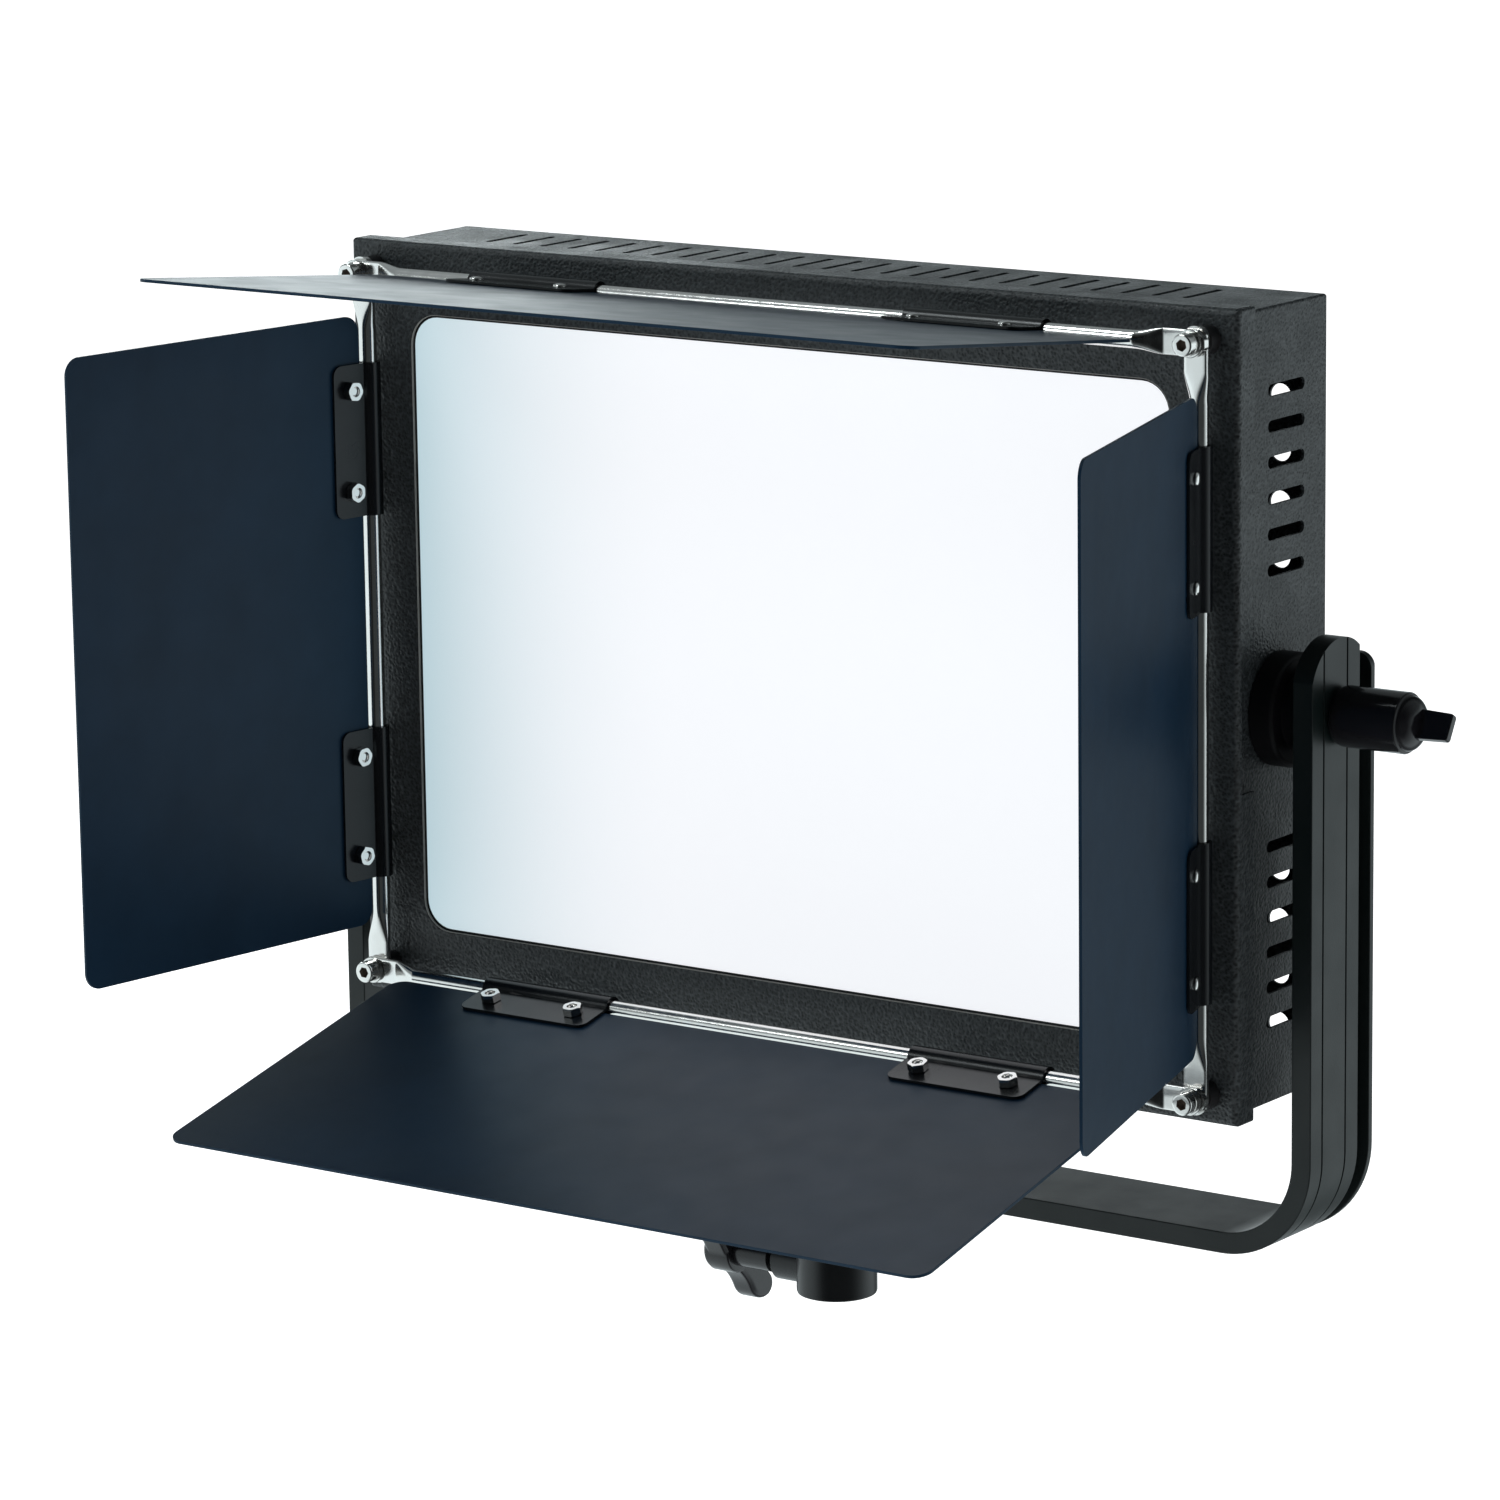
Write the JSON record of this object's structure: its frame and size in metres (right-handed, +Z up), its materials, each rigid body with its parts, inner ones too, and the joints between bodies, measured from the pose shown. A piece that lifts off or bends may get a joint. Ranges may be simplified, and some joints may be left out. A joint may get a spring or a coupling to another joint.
{
  "type": "led panel light",
  "caption": "Flat LED studio panel with opal diffuser, four hinged barn doors on a rod frame, vented steel housing and a tilting U yoke with stand socket.",
  "frame": {"origin": "centre of the mouth of the 16 mm stand socket, under the yoke", "axes": "+Z up along the stand stud; the light shines along -Y; +X is to the right of someone looking into the light, on the side of the tilt clamp knob"},
  "size_m": [0.511, 0.2541, 0.4284],
  "materials": {
    "crinkle_black": "satin",
    "leaf_black": "matte",
    "clip_black": "satin",
    "satin_black_aluminium": "satin",
    "nickel_steel": "polished",
    "opal_diffuser": "satin",
    "white_reflector": "matte",
    "led_board": "satin",
    "raw_aluminium": "satin",
    "circuit_board": "satin",
    "gloss_black_plastic": "gloss",
    "matte_black_plastic": "matte",
    "matte_black_plate": "matte"
  },
  "bodies": {
    "yoke": {"yoke": "satin_black_aluminium", "stand_receiver": "satin_black_aluminium", "left_pivot_bolt": "satin_black_aluminium"},
    "head": {"front_bezel": "crinkle_black", "rear_housing": "crinkle_black", "diffuser_panel": "opal_diffuser", "light_box": "white_reflector", "led_board": "led_board", "heat_plate": "raw_aluminium", "power_supply": "raw_aluminium", "driver_board": "circuit_board", "friction_disc_right": "matte_black_plastic", "friction_disc_left": "matte_black_plastic", "power_inlet": "gloss_black_plastic", "control_plate": "matte_black_plate", "top_rod": "nickel_steel", "bottom_rod": "nickel_steel", "left_rod": "nickel_steel", "right_rod": "nickel_steel", "corner_bolt_top_left": "nickel_steel", "corner_spacer_top_left": "matte_black_plastic", "corner_bolt_top_right": "nickel_steel", "corner_spacer_top_right": "matte_black_plastic", "corner_bolt_bottom_left": "nickel_steel", "corner_spacer_bottom_left": "matte_black_plastic", "corner_bolt_bottom_right": "nickel_steel", "corner_spacer_bottom_right": "matte_black_plastic"},
    "top_door": {"top_door_leaf": "leaf_black", "top_door_clip_1": "clip_black", "top_door_clip_2": "clip_black", "top_door_screw_1": "nickel_steel", "top_door_screw_2": "nickel_steel", "top_door_screw_3": "nickel_steel", "top_door_screw_4": "nickel_steel"},
    "bottom_door": {"bottom_door_leaf": "leaf_black", "bottom_door_clip_1": "clip_black", "bottom_door_clip_2": "clip_black", "bottom_door_screw_1": "nickel_steel", "bottom_door_screw_2": "nickel_steel", "bottom_door_screw_3": "nickel_steel", "bottom_door_screw_4": "nickel_steel"},
    "right_door": {"right_door_leaf": "leaf_black", "right_door_clip_1": "clip_black", "right_door_clip_2": "clip_black", "right_door_screw_1": "nickel_steel", "right_door_screw_2": "nickel_steel", "right_door_screw_3": "nickel_steel", "right_door_screw_4": "nickel_steel"},
    "left_door": {"left_door_leaf": "leaf_black", "left_door_clip_1": "clip_black", "left_door_clip_2": "clip_black", "left_door_screw_1": "nickel_steel", "left_door_screw_2": "nickel_steel", "left_door_screw_3": "nickel_steel", "left_door_screw_4": "nickel_steel"},
    "tilt_knob": {"tilt_knob": "gloss_black_plastic"},
    "receiver_knob": {"receiver_knob": "satin_black_aluminium"},
    "dimmer_knob": {"dimmer_knob": "gloss_black_plastic"},
    "colour_knob": {"colour_knob": "gloss_black_plastic"},
    "power_switch": {"power_switch": "gloss_black_plastic"}
  },
  "joints": [
    {"name": "head_tilt", "type": "hinge", "parent": "yoke", "child": "head", "pos_m": [0, 0, 0.2565], "axis": [-1, 0, 0], "range_deg": [-30, 90]},
    {"name": "top_door_hinge", "type": "hinge", "parent": "head", "child": "top_door", "pos_m": [0, -0.04805, 0.3975], "axis": [-1, 0, 0], "range_deg": [-83.9, 83.9]},
    {"name": "bottom_door_hinge", "type": "hinge", "parent": "head", "child": "bottom_door", "pos_m": [0, -0.04805, 0.1155], "axis": [1, 0, 0], "range_deg": [-95, 77]},
    {"name": "right_door_hinge", "type": "hinge", "parent": "head", "child": "right_door", "pos_m": [0.1925, -0.04085, 0.2565], "axis": [0, 0, 1], "range_deg": [-104, 73.5]},
    {"name": "left_door_hinge", "type": "hinge", "parent": "head", "child": "left_door", "pos_m": [-0.1925, -0.04085, 0.2565], "axis": [0, 0, -1], "range_deg": [-95.5, 82]},
    {"name": "tilt_clamp", "type": "hinge", "parent": "yoke", "child": "tilt_knob", "pos_m": [0, 0, 0.2565], "axis": [1, 0, 0], "range_deg": [0, 360]},
    {"name": "receiver_clamp", "type": "hinge", "parent": "yoke", "child": "receiver_knob", "pos_m": [0, 0, 0.01], "axis": [1, 0, 0], "range_deg": [0, 360]},
    {"name": "dimmer_turn", "type": "hinge", "parent": "head", "child": "dimmer_knob", "pos_m": [-0.088, 0.04, 0.1615], "axis": [0, 1, 0], "range_deg": [0, 270]},
    {"name": "colour_turn", "type": "hinge", "parent": "head", "child": "colour_knob", "pos_m": [-0.044, 0.04, 0.1615], "axis": [0, 1, 0], "range_deg": [0, 270]},
    {"name": "power_rock", "type": "hinge", "parent": "head", "child": "power_switch", "pos_m": [0.012, 0.0318, 0.1615], "axis": [1, 0, 0], "range_deg": [0, 16]}
  ]
}
